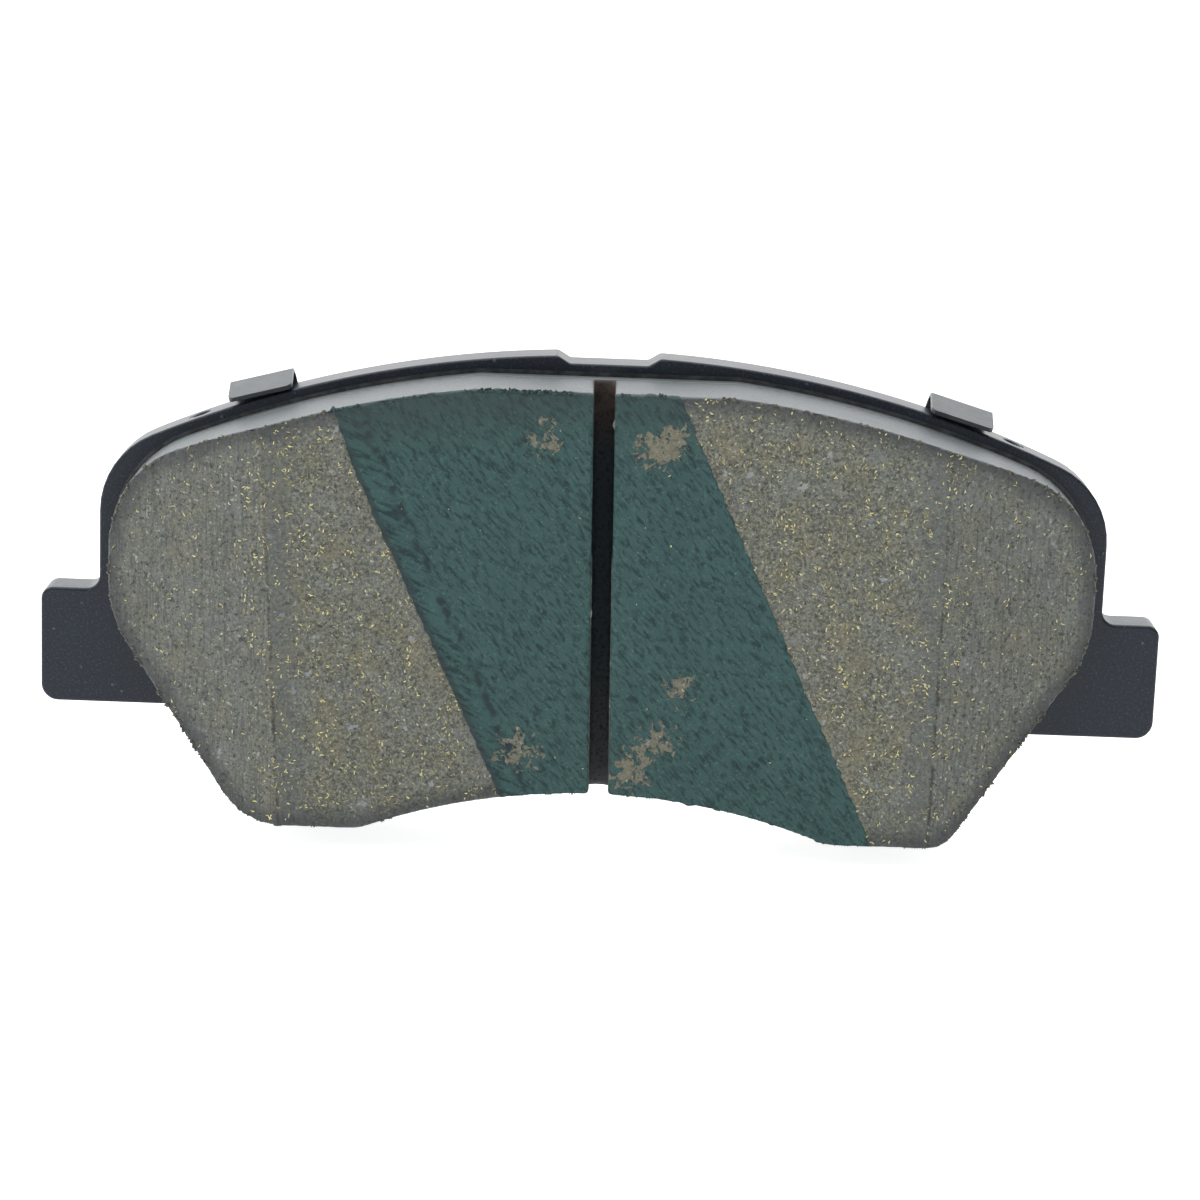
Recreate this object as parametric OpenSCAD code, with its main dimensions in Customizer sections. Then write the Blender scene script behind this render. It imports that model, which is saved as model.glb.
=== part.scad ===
// Front disc brake pad: a steel backing plate with a moulded lining on its front
// and a clipped-on anti-noise shim on its back.
//
// X runs along the pad, Z points up and outwards from the axle, and -Y points at the disc.
// The origin is the middle of the face that the piston presses, level with the ears' middle.

/* [Backing plate] */
// Length over both ears
plate_w = 131.4; // [115:0.1:158]
// Thickness of the plate
plate_t = 5.5; // [4.5:0.1:7]
// Height of the crown's top above the ears' middle
crown_h = 36.5; // [31:0.1:44]
// Radius of the crown
crown_r = 131; // [108:1:160]
// Radius of each shoulder
shoulder_r = 10; // [6:0.5:12]

/* [Ears] */
// Height of each ear
ear_h = 13.7; // [11:0.1:16.5]
// How far each ear reaches past the plate's side
ear_len = 6.85; // [5:0.05:9]
// Radius of each ear's upper corner
ear_top_r = 1.4; // [0.5:0.1:2.5]
// Radius of each ear's lower corner
ear_bottom_r = 2; // [0.5:0.1:3]
// Radius in the corner between each ear and the plate's side
ear_root_r = 1.6; // [0.5:0.1:2.5]

/* [Crown notch] */
// Length of the notch's floor
notch_w = 9.2; // [6:0.1:14]
// Depth of the notch below the crown's top
notch_d = 1; // [0.6:0.1:2]
// Length of each sloping end of the notch
notch_flare = 1.3; // [0.8:0.1:2.5]
// Radius that blends the notch's corners
notch_r = 0.9; // [0.3:0.1:1.2]

/* [Return spring holes] */
// Diameter of each hole
spring_hole_d = 2.1; // [1.5:0.1:3]
// Depth of each hole below the crown
spring_hole_depth = 6; // [3:0.5:10]
// Distance of each hole from the plate's side
spring_hole_inset = 11.45; // [10:0.05:15]

/* [Moulding holes] */
// Diameter of each hole that the lining is moulded through
key_hole_d = 10; // [6:0.5:13]
// Distance of each moulding hole from the middle
key_hole_x = 24; // [16:0.5:30]
// Height of the moulding holes above the ears' middle
key_hole_z = 10; // [4:0.5:14]

/* [Lining] */
// Thickness of the adhesive film
glue_t = 0.1; // [0.05:0.05:0.3]
// Thickness of the underlayer
under_t = 2; // [1:0.1:3]
// Thickness of the friction block
block_t = 8.9; // [7:0.1:12]
// Gap between the lining's end and the plate's side
side_gap = 1.95; // [1:0.05:4]
// Gap between the lining and the plate's crown
crown_gap = 1.5; // [1:0.1:3]
// Drop from the crown's top to the flat at the lining's top
flat_drop = 2.35; // [2:0.05:4]
// Radius of the lining's upper corners
lining_r = 13; // [9:0.5:16]
// Height where each end turns into its slanting flank
flank_top = 5.15; // [0:0.05:8]
// Angle between a flank and the horizontal
flank_a = 55; // [45:1:70]
// Radius between each end and its flank
flank_r = 12; // [1:0.5:16]
// Drop from the ears' middle to the bottom of the lobes
lobe_drop = 17.95; // [14:0.05:22]
// Length of each lobe's foot, before its corners are rounded
lobe_w = 13.5; // [12:0.1:16]
// Rise of the belly's arch above the lobes
belly_rise = 5.15; // [3:0.05:8]
// Outer corner radius of the left lobe
lobe_r_left = 8; // [2:0.5:9]
// Outer corner radius of the right lobe
lobe_r_right = 3.5; // [2:0.5:9]
// Radius between each lobe and the belly
belly_r = 6; // [2:0.5:8]
// Rim of bare plate below the lining
plate_rim = 0.8; // [0.4:0.1:1.5]
// Rim of adhesive film around the lining
glue_rim = 0.45; // [0.1:0.05:0.7]

/* [Slot and chamfers] */
// Width of the slot
slot_w = 2.4; // [1.5:0.1:4]
// Depth of the slot below the friction face, at its bottom end
slot_depth = 4; // [3:0.1:7]
// Friction material left under the slot, at its top end
slot_rest = 0.3; // [0.2:0.1:4]
// Radius in the corners of the slot's floor
slot_r = 0.6; // [0.1:0.1:0.7]
// Sideways place of the slot at the ears' middle
slot_x = 0.25; // [-3:0.05:3]
// Lean of the slot, its top towards the left
slot_lean = 1.1; // [-5:0.1:5]
// Length of the left end's chamfer
chamfer_left = 19.5; // [10:0.1:23]
// Length of the right end's chamfer
chamfer_right = 18; // [10:0.1:23]
// Angle of the chamfers below the friction face
chamfer_a = 16; // [8:1:20]
// Lean that both chamfers share, their tops towards the left
chamfer_lean = 1.4; // [-4:0.1:4]
// How much each chamfer opens towards its top
chamfer_taper = 1.8; // [0:0.1:3]

/* [Bedding-in stripe] */
// Width of the stripe, across its length
stripe_w = 37.2; // [20:0.1:45]
// Thickness of the coating
stripe_t = 0.1; // [0.05:0.05:0.2]
// Sideways place of the stripe's middle at the ears' middle
stripe_x = 3.4; // [-5:0.1:5]
// Lean of the stripe, its top towards the left
stripe_lean = 25; // [0:1:30]

/* [Shim] */
// Thickness of the steel sheet
sheet_t = 0.5; // [0.3:0.05:0.8]
// Thickness of each rubber layer
rubber_t = 0.12; // [0.05:0.01:0.25]
// Rim of the shim around the lining's outline
shim_rim = 0.3; // [0:0.1:0.6]
// Width of each upper tab
tab_w = 7.55; // [5:0.05:10]
// Distance of the left upper tab's middle from the plate's side
tab_inset_left = 18.75; // [16:0.05:25]
// Distance of the right upper tab's middle from the plate's side
tab_inset_right = 17.95; // [16:0.05:25]
// How much flatter the left upper tab lies than the crown under it, in degrees
tab_lean_left = 3; // [0:0.1:4]
// How much flatter the right upper tab lies than the crown under it, in degrees
tab_lean_right = 1.7; // [0:0.1:4]
// Width of each lower tab
lower_tab_w = 6; // [4:0.1:7]
// Distance of each lower tab's middle from the lobe's outer corner
lower_tab_inset = 8.1; // [7:0.1:9]
// Inner radius of each tab's fold
fold_r = 0.8; // [0.5:0.1:1.2]
// Height of each fold's centre above the plate's edge
fold_h = 0.65; // [0.3:0.05:1]
// Fall of each tab towards its free end
tab_fall = 12.5; // [5:0.5:14]
// How far each tab reaches past the plate's front
tab_reach = 0.5; // [0.1:0.05:1]
// Radius of each tab's free corners
tab_r = 0.8; // [0.3:0.1:2]
// Length of each tab's root on the shim
tab_root = 2.4; // [2:0.1:4]

/* [Hidden] */

over = 1;                 // how far a cutter reaches past what it cuts
arc_step = 9;             // widest angle between two points of an outline's arc
arc_chord = 1.6;          // longest straight stretch in an outline's arc
far = 2 * plate_w;        // longer than anything in the pad

// Layers from the piston's side to the disc's side
core_y = -rubber_t;
inner_y = core_y - sheet_t;
plate_y = inner_y - rubber_t;
front_y = plate_y - plate_t;
under_y = front_y - glue_t;
block_y = under_y - under_t;
face_y = block_y - block_t;

// Plate
body_half = plate_w / 2 - ear_len;
ear_half = ear_h / 2;
notch_edge = notch_w / 2 + notch_flare;
notch_z = crown_h - notch_d;
spring_hole_x = body_half - spring_hole_inset;

// Lining
lining_half = body_half - side_gap;
foot_x = lining_half - (flank_top + lobe_drop) / tan(flank_a);
belly_half = foot_x - lobe_w;
belly_curve = (pow(belly_half, 2) + pow(belly_rise, 2)) / (2 * belly_rise);
belly_centre = belly_rise - lobe_drop - belly_curve;

// The rounding above each flank, kept clear of the shoulder's
shoulder_z = shoulder_centre(lining_half, crown_h - crown_gap, crown_r - crown_gap, lining_r).y;
flank_fit = min(flank_r, 0.9 * (shoulder_z - flank_top) / tan(45 - flank_a / 2));

// Slot, whose floor runs from one end's depth to the other's
slot_low = belly_rise - lobe_drop;
slot_high = crown_h - flat_drop;
slot_tilt = atan((block_t - slot_rest - slot_depth) / (slot_high - slot_low));
slot_floor = slot_depth * cos(slot_tilt) - slot_low * sin(slot_tilt);

// A direction, turned clockwise from straight up
function aim(a) = [sin(a), cos(a)];

// Points along an arc, from one direction to another
function arc(c, r, a0, a1) =
    let(turn = abs(a1 - a0), n = ceil(max(2, turn / arc_step, turn * PI / 180 * abs(r) / arc_chord)))
    [for (i = [0 : n]) c + r * aim(a0 + (a1 - a0) * i / n)];

// The corner where two edges meet, after both have moved outwards by grow
function moved_corner(p, a0, a1, grow) = p + grow * (aim(a0) + aim(a1)) / (1 + aim(a0) * aim(a1));

// A rounded corner between edges that face a0 and a1; a negative radius fills an inner corner
function rounded(p, a0, a1, r) = arc(moved_corner(p, a0, a1, -r), r, a0, a1);

// Centre of a shoulder arc that runs smoothly into the crown and the side
function shoulder_centre(half, top, r_crown, r) =
    [half - r, top - r_crown + sqrt(pow(r_crown - r, 2) - pow(half - r, 2))];

// Crown from direction a0 down over the right shoulder
function crown_and_shoulder(half, top, r_crown, r, a0) =
    let(c = shoulder_centre(half, top, r_crown, r), meet = asin((half - r) / (r_crown - r)))
    concat(arc([0, top - r_crown], r_crown, a0, meet), arc(c, r, meet, 90));

// Lobe and belly of the right half, grown outwards, ending on the middle line
function lobe_and_belly(grow, r) =
    let(c = [sqrt(pow(belly_curve + belly_r, 2) - pow(belly_r - lobe_drop - belly_centre, 2)),
             belly_r - lobe_drop],
        turn = asin(c.x / (belly_curve + belly_r)))
    concat(rounded(moved_corner([foot_x, -lobe_drop], 180 - flank_a, 180, grow),
                   180 - flank_a, 180, r + grow),
           arc(c, belly_r + grow, 180, 180 + turn),
           arc([0, belly_centre], belly_curve - grow, turn, 0));

// Right half of the lining's outline, grown outwards
function half_lining(grow, r) =
    let(r_top = crown_r - crown_gap + grow,
        top = crown_h - crown_gap + grow,
        flat = crown_h - flat_drop + grow,
        a0 = acos((flat - top + r_top) / r_top))
    concat(crown_and_shoulder(lining_half + grow, top, r_top, lining_r + grow, a0),
           rounded(moved_corner([lining_half, flank_top], 90, 180 - flank_a, grow),
                   90, 180 - flank_a, flank_fit + grow),
           lobe_and_belly(grow, r));

// Right half of the plate's outline
function half_plate(r) =
    let(slope = atan(notch_d / notch_flare),
        edge = [notch_edge, crown_h - crown_r + sqrt(pow(crown_r, 2) - pow(notch_edge, 2))],
        blend = asin(edge.x / crown_r),
        start = asin((edge.x + notch_r * tan((slope + blend) / 2)) / crown_r),
        side = moved_corner([lining_half, flank_top], 90, 180 - flank_a, plate_rim),
        under = [side.x - (side.y + ear_half) / tan(flank_a), -ear_half])
    concat(rounded([notch_w / 2, notch_z], 0, -slope, -notch_r),
           rounded(edge, -slope, blend, notch_r),
           crown_and_shoulder(body_half, crown_h, crown_r, shoulder_r, start),
           rounded([body_half, ear_half], 90, 0, -ear_root_r),
           rounded([plate_w / 2, ear_half], 0, 90, ear_top_r),
           rounded([plate_w / 2, -ear_half], 90, 180, ear_bottom_r),
           rounded(under, 180, 180 - flank_a, -ear_root_r),
           lobe_and_belly(plate_rim, r));

// The same points on the left, in reverse order
function flipped(points) = [for (i = [len(points) - 1 : -1 : 0]) [-points[i].x, points[i].y]];

module lining_outline(grow = 0) {
    polygon(concat(half_lining(grow, lobe_r_right), flipped(half_lining(grow, lobe_r_left))));
}

module plate_outline() {
    polygon(concat(half_plate(lobe_r_right), flipped(half_plate(lobe_r_left))));
}

// A flat layer that reaches from y_back towards the disc
module layer(y_back, t) {
    translate([0, y_back, 0]) rotate([90, 0, 0]) linear_extrude(t) children();
}

// The same thing on the left and on the right
module both_sides() {
    children();
    mirror([1, 0, 0]) children();
}

// Places its children on the crown at distance x from the middle, tilted by a
module on_crown(x, a) {
    translate([x, 0, crown_h - crown_r + sqrt(pow(crown_r, 2) - pow(x, 2))])
        rotate([0, a, 0]) children();
}

module key_plugs(y_back, t) {
    both_sides()
        translate([key_hole_x, y_back, key_hole_z])
            rotate([90, 0, 0]) cylinder(h = t, d = key_hole_d, $fn = 48);
}

// The slot's cross-section, level with the ears' middle; it reaches well out of the face
module slot_profile() {
    polygon(concat([[-slot_w / 2, -block_t], [slot_w / 2, -block_t]],
                   rounded([slot_w / 2, slot_floor], 90, 0, slot_r),
                   rounded([-slot_w / 2, slot_floor], 0, -90, slot_r)));
}

module slot_cutter() {
    length = 4 * (slot_high - slot_low);
    translate([slot_x, face_y, 0]) rotate([0, -slot_lean, 0]) rotate([-slot_tilt, 0, 0])
        translate([0, 0, -length / 2]) linear_extrude(length) slot_profile();
}

// Everything to the right of the slot's middle
module right_of_slot() {
    translate([slot_x, 0, 0]) rotate([0, -slot_lean, 0])
        translate([0, -far / 2, -far / 2]) cube(far);
}

module chamfer_cutter(length, lean) {
    translate([lining_half - length, face_y, 0]) rotate([0, lean, 0])
        rotate([0, 0, chamfer_a]) translate([0, -block_t, -far / 2])
            cube([far, block_t, far]);
}

module backing_plate() {
    color("#333a40")
    difference() {
        layer(plate_y, plate_t) plate_outline();
        key_plugs(plate_y + over, plate_t + 2 * over);
        both_sides()
            on_crown(spring_hole_x, asin(spring_hole_x / crown_r))
                translate([0, plate_y - plate_t / 2, -spring_hole_depth])
                    cylinder(h = spring_hole_depth + over, d = spring_hole_d, $fn = 32);
    }
}

module adhesive_film() {
    color("#8c8674")
    difference() {
        layer(front_y, glue_t) lining_outline(glue_rim);
        key_plugs(front_y + over, glue_t + 2 * over);
    }
}

module underlayer() {
    color("#6f7276") {
        layer(under_y, under_t) lining_outline();
        key_plugs(plate_y, plate_t + glue_t + under_t / 2);
    }
}

module friction_block() {
    color("#6e6c60")
    difference() {
        layer(block_y, block_t) lining_outline();
        slot_cutter();
        chamfer_cutter(chamfer_right, chamfer_taper - chamfer_lean);
        mirror([1, 0, 0]) chamfer_cutter(chamfer_left, chamfer_taper + chamfer_lean);
    }
}

// The whole stripe, before the slot parts it
module stripe() {
    intersection() {
        layer(face_y, stripe_t) lining_outline();
        translate([stripe_x, 0, 0]) rotate([0, -stripe_lean, 0])
            translate([-stripe_w / 2, -far / 2, -far / 2]) cube([stripe_w, far, far]);
    }
}

module bedding_stripe_left() {
    color("#48635f")
    difference() {
        stripe();
        slot_cutter();
        right_of_slot();
    }
}

module bedding_stripe_right() {
    color("#48635f")
    intersection() {
        difference() {
            stripe();
            slot_cutter();
        }
        right_of_slot();
    }
}

// A tab's folded sheet from the side: its root stands on the shim, its free end lies over the front
module tab_section() {
    fold_y = core_y - sheet_t - fold_r;
    outer = fold_r + sheet_t;
    run = (fold_y - outer * sin(tab_fall) - front_y + tab_reach) / cos(tab_fall);
    translate([core_y - sheet_t, -tab_root]) square([sheet_t, tab_root + fold_h]);
    translate([fold_y, fold_h]) {
        difference() {
            circle(outer, $fn = 48);
            circle(fold_r, $fn = 48);
            translate([-far, -far]) square([2 * far, far]);
            rotate(tab_fall) translate([-far, -far / 2]) square([far, far]);
        }
        rotate(tab_fall) translate([-run, fold_r]) square([run, sheet_t]);
    }
}

// A tab's outline from above, with its free corners rounded
module tab_plan(width) {
    end_y = front_y - tab_reach;
    translate([-width / 2, end_y + tab_r]) square([width, core_y - end_y - tab_r + over]);
    translate([-width / 2 + tab_r, end_y]) square([width - 2 * tab_r, tab_r]);
    both_sides() translate([width / 2 - tab_r, end_y + tab_r]) circle(tab_r, $fn = 32);
}

// One folded tab, centred on X, with the plate's edge at its own Z zero
module tab(width) {
    intersection() {
        translate([-width / 2, 0, 0]) rotate([90, 0, 90]) linear_extrude(width) tab_section();
        translate([0, 0, -tab_root]) linear_extrude(2 * tab_root + fold_h) tab_plan(width);
    }
}

// A tab on the crown at distance x from the middle
module upper_tab(x, lean) {
    on_crown(x, asin(x / crown_r) - lean) tab(tab_w);
}

module shim_core() {
    color("#9aa0a3") {
        layer(core_y, sheet_t) lining_outline(shim_rim);
        upper_tab(body_half - tab_inset_right, tab_lean_right);
        mirror([1, 0, 0]) upper_tab(body_half - tab_inset_left, tab_lean_left);
        both_sides()
            translate([foot_x - lower_tab_inset, 0, -lobe_drop - plate_rim])
                rotate([0, 180, 0]) tab(lower_tab_w);
    }
}

module shim_inner_rubber() {
    color("#26282a") layer(inner_y, rubber_t) lining_outline(shim_rim);
}

module shim_outer_rubber() {
    color("#26282a") layer(0, rubber_t) lining_outline(shim_rim);
}

backing_plate();
adhesive_film();
underlayer();
friction_block();
bedding_stripe_left();
bedding_stripe_right();
shim_core();
shim_inner_rubber();
shim_outer_rubber();
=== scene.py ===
# %% [markdown]
# # A front disc brake pad
#
# A brake pad is a steel plate with a block of friction material moulded onto it and a thin
# anti-noise shim clipped to its back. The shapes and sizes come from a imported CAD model, which
# is loaded first and stays fixed. Blender adds what CAD leaves out: rounded rims, crumbly edges,
# metal fibres, worn coating, and the finish of every surface.

# %% Load the fixed CAD frame
import math
import random

import bmesh
import bpy
from mathutils import Matrix, Vector, noise
from mathutils.bvhtree import BVHTree
from mathutils.kdtree import KDTree


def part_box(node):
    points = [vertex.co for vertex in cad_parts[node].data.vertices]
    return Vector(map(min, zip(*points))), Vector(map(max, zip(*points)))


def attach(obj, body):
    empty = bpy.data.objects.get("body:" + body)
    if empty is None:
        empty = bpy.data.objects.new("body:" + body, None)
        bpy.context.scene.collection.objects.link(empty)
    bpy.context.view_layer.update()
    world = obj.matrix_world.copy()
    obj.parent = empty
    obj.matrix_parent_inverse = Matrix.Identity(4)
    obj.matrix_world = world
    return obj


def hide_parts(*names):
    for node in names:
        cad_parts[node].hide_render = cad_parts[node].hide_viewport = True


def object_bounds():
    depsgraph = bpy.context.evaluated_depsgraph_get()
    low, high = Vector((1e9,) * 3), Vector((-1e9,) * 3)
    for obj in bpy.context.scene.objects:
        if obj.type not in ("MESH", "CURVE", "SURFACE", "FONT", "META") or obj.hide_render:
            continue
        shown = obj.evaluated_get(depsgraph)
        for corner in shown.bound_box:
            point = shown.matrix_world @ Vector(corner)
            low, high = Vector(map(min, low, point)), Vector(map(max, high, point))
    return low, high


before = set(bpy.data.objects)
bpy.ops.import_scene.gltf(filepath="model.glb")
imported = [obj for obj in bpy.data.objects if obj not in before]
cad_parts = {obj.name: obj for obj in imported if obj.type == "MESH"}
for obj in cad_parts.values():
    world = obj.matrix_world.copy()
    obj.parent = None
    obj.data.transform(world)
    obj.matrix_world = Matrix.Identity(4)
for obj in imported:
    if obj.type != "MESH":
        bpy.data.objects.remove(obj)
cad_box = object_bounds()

MM = 0.001
print("CAD box in mm:", [[round(v / MM, 2) for v in corner] for corner in cad_box])

# %% [markdown]
# ## Camera
#
# The pad stands upright with its friction face towards the viewer. A long lens, about three
# pad lengths away, keeps the two ears nearly parallel. The camera looks down by about thirteen
# degrees, so that the tops of the plate, the tabs and the lining all show, and it is rolled by
# two degrees. Angles are easy to mix up, so two plain directions say all of this: where the
# picture's right and its bottom point. The direction of the lens follows from them.

# %% Make the camera
def add_camera(name, place, right, down, lens):
    """A camera at place, with its picture's right and down directions in the pad's frame."""
    right = Vector(right).normalized()
    down = Vector(down).normalized()
    ahead = right.cross(down).normalized()
    turn = Matrix((right, right.cross(ahead), -ahead)).transposed()
    camera_data = bpy.data.cameras.new(name)
    camera_data.lens = lens
    camera_data.sensor_width = 36
    camera_data.clip_start = 0.01
    camera = bpy.data.objects.new(name, camera_data)
    camera.matrix_world = Matrix.Translation(Vector(place)) @ turn.to_4x4()
    bpy.context.scene.collection.objects.link(camera)
    bpy.context.scene.camera = camera
    return camera


CAMERA_PLACE = (0, -395.1 * MM, 95.46 * MM)
PICTURE_RIGHT = (0.999358, 0.008122, 0.034896)
PICTURE_DOWN = (0.035827, -0.220084, -0.974823)
camera = add_camera("pad_camera", CAMERA_PLACE, PICTURE_RIGHT, PICTURE_DOWN, lens=102)
print("camera looks along", [round(v, 3) for v in camera.matrix_world.to_3x3() @ Vector((0, 0, -1))])

# %% [markdown]
# ## Floor and light
#
# The pad stands on its lower tabs on a plain white floor that glows a little, as a table of
# lit milky plastic does, so that hardly any shadow shows under the pad. Satin paint is dark
# when it is seen from the front, but it mirrors its surroundings when it is seen at a low
# angle: the plate's edge and the tabs look light grey because there is a bright white room
# behind them. So the room is white behind and above, dimmer on the viewer's side and on the
# right, and a very soft light from overhead adds the shading on the pad's upper sides.

# %% Make the room and the overhead light
def display(red, green, blue):
    """A colour as a screen shows it, 0 to 255, as the linear numbers that a shader uses."""
    def linear(part):
        part = part / 255
        return part / 12.92 if part <= 0.04045 else ((part + 0.055) / 1.055) ** 2.4
    return (linear(red), linear(green), linear(blue), 1.0)


def add_room(dim, bright, towards, first=-0.65, last=0.85):
    """A room that goes from dim to bright in the direction towards, between first and last."""
    room = bpy.data.worlds.new("white_room")
    room.use_nodes = True
    nodes, links = room.node_tree.nodes, room.node_tree.links
    look = nodes.new("ShaderNodeTexCoord")
    facing = nodes.new("ShaderNodeVectorMath")
    facing.operation = "DOT_PRODUCT"
    facing.inputs[1].default_value = Vector(towards).normalized()
    level = nodes.new("ShaderNodeMapRange")
    level.interpolation_type = "SMOOTHSTEP"
    for socket, value in zip(("From Min", "From Max", "To Min", "To Max"), (first, last, dim, bright)):
        level.inputs[socket].default_value = value
    links.new(look.outputs["Generated"], facing.inputs[0])
    links.new(facing.outputs["Value"], level.inputs["Value"])
    links.new(level.outputs["Result"], nodes["Background"].inputs["Strength"])
    nodes["Background"].inputs["Color"].default_value = (1.0, 1.0, 1.0, 1.0)
    bpy.context.scene.world = room


def add_overhead(name, towards, strength, spread):
    """A very soft light from far overhead that shines in the direction towards."""
    light_data = bpy.data.lights.new(name, "SUN")
    light_data.energy = strength
    light_data.angle = math.radians(spread)
    light = bpy.data.objects.new(name, light_data)
    light.rotation_euler = Vector(towards).to_track_quat("-Z", "Y").to_euler()
    bpy.context.scene.collection.objects.link(light)


add_room(dim=0.16, bright=2.1, towards=(-0.5, 0.75, 0.45))
add_overhead("overhead", (0.15, 0.1, -1), strength=1.0, spread=80)
bpy.context.scene.view_settings.view_transform = "Standard"
print("room and overhead light ready")

# %% [markdown]
# The floor is one large square at the height of the pad's lowest point. Its own glow does most
# of the work: a shadow only takes away the light that falls on it, not the light it gives off.

# %% Lay the floor
def glowing_paint(grey, glow):
    """Matt grey paint that also gives off light."""
    paint = bpy.data.materials.new("floor_paint")
    paint.use_nodes = True
    shader = paint.node_tree.nodes["Principled BSDF"]
    shader.inputs["Base Color"].default_value = (grey, grey, grey, 1)
    shader.inputs["Roughness"].default_value = 0.9
    shader.inputs["Emission Color"].default_value = (1, 1, 1, 1)
    shader.inputs["Emission Strength"].default_value = glow
    return paint


FLOOR_HALF = 3.0
floor_height = cad_box[0][2]
floor_cut = bmesh.new()
bmesh.ops.create_grid(floor_cut, x_segments=1, y_segments=1, size=FLOOR_HALF)
bmesh.ops.translate(floor_cut, verts=floor_cut.verts, vec=(0, 0, floor_height))
floor_mesh = bpy.data.meshes.new("floor")
floor_cut.to_mesh(floor_mesh)
floor_cut.free()
floor_mesh.materials.append(glowing_paint(grey=0.5, glow=0.85))
floor = bpy.data.objects.new("floor", floor_mesh)
bpy.context.scene.collection.objects.link(floor)
print("floor at", round(floor_height / MM, 2), "mm")

# %% [markdown]
# ## Shader maths as Python
#
# A finish is a small network of nodes. Wiring them one by one is slow to read, so a Wire wraps
# one output and lets Python's own operators add the Math nodes: `1 - grain * 0.3` makes two of
# them. Everything else, such as noise and colour mixes, comes from one method, `node`.

# %% Define the wire and the finish
class Wire:
    """One node output that Python arithmetic works on."""

    def __init__(self, finish, socket):
        self.finish = finish
        self.socket = socket

    def maths(self, operation, *values):
        return self.finish.node("Math", {"operation": operation}, dict(enumerate(values)))

    def __add__(self, other):
        return self.maths("ADD", self, other)

    def __radd__(self, other):
        return self.maths("ADD", other, self)

    def __sub__(self, other):
        return self.maths("SUBTRACT", self, other)

    def __rsub__(self, other):
        return self.maths("SUBTRACT", other, self)

    def __mul__(self, other):
        return self.maths("MULTIPLY", self, other)

    def __rmul__(self, other):
        return self.maths("MULTIPLY", other, self)

    def size(self):
        return self.maths("ABSOLUTE", self)

    def root(self):
        return self.maths("SQRT", self)


class Finish:
    """One procedural material, with the piece's own coordinates ready as x, y and z."""

    def __init__(self, name):
        self.material = bpy.data.materials.new(name)
        self.material.use_nodes = True
        self.tree = self.material.node_tree
        self.shader = self.tree.nodes["Principled BSDF"]
        self.place = self.node("TexCoord", output="Object")
        self.x, self.y, self.z = (self.node("SeparateXYZ", inputs={0: self.place}, output=axis)
                                  for axis in "XYZ")

    def node(self, kind, settings=None, inputs=None, output=0):
        """Any node: its settings first, then the values or wires of its sockets."""
        made = self.tree.nodes.new("ShaderNode" + kind)
        for setting, value in (settings or {}).items():
            setattr(made, setting, value)
        for socket, value in (inputs or {}).items():
            self.feed(made.inputs[socket], value)
        return Wire(self, made.outputs[output])

    def feed(self, socket, value):
        """Puts a wire or a plain value on a socket."""
        if isinstance(value, Wire):
            self.tree.links.new(value.socket, socket)
        else:
            socket.default_value = value

    def set(self, **sockets):
        """Feeds the shader: Base_Color is the socket Base Color."""
        for socket, value in sockets.items():
            self.feed(self.shader.inputs[socket.replace("_", " ")], value)

    def stretched(self, scale=(1, 1, 1), turn=(0, 0, 0)):
        """The coordinates turned and scaled, so that a pattern becomes streaks."""
        turned = self.node("Mapping", {"vector_type": "POINT"},
                           {"Vector": self.place, "Rotation": [math.radians(a) for a in turn]})
        return self.node("Mapping", {"vector_type": "POINT"}, {"Vector": turned, "Scale": scale})

    def cloud(self, size, detail=2.0, rough=0.5, place=None, twist=0.0):
        """Soft noise from 0 to 1 whose blobs are about size metres across."""
        return self.node("TexNoise", {}, {"Vector": place or self.place, "Scale": 1 / size,
                                          "Detail": detail, "Roughness": rough, "Distortion": twist})

    def grains(self, size):
        """Cells about size metres across: the distance to each one's middle."""
        return self.node("TexVoronoi", {"feature": "F1"},
                         {"Vector": self.place, "Scale": 1 / size}, output="Distance")

    def fade(self, value, low, high, start=0.0, end=1.0):
        """A smooth step: start below low, end above high."""
        return self.node("MapRange", {"interpolation_type": "SMOOTHSTEP"},
                         {0: value, 1: low, 2: high, 3: start, 4: end})

    def mix(self, first, second, share):
        """Two colours mixed, with share of the second."""
        return self.node("Mix", {"data_type": "RGBA"}, {0: share, 6: first, 7: second}, output=2)

    def stored(self, name):
        """A value that the mesh stores on every point."""
        return self.node("Attribute", {"attribute_name": name}, output="Fac")

    def relief(self, height, depth, below=None):
        """A bump of depth metres from a height of 0 to 1, laid over another one if it is given."""
        inputs = {"Height": height, "Distance": depth, "Strength": 1.0}
        if below is not None:
            inputs["Normal"] = below
        return self.node("Bump", {}, inputs)


print("shader helpers ready")

# %% [markdown]
# ## Solid pieces from the CAD nodes
#
# CAD edges are perfectly sharp, and real ones never are: a stamped or moulded rim always has a
# small radius, and that radius catches a thin line of light. A CAD node comes as loose triangles,
# so a copy is first merged into a closed solid and its flat faces are joined, and then the rims
# can be bevelled.

# %% Define how a piece is copied, rimmed and added
def solid_copy(node):
    """A closed bmesh solid from the CAD node's triangles, with its flat faces joined."""
    solid = bmesh.new()
    solid.from_mesh(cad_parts[node].data)
    bmesh.ops.remove_doubles(solid, verts=solid.verts, dist=0.001 * MM)
    bmesh.ops.dissolve_limit(solid, angle_limit=math.radians(0.1),
                             verts=solid.verts, edges=solid.edges)
    return solid


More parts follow.
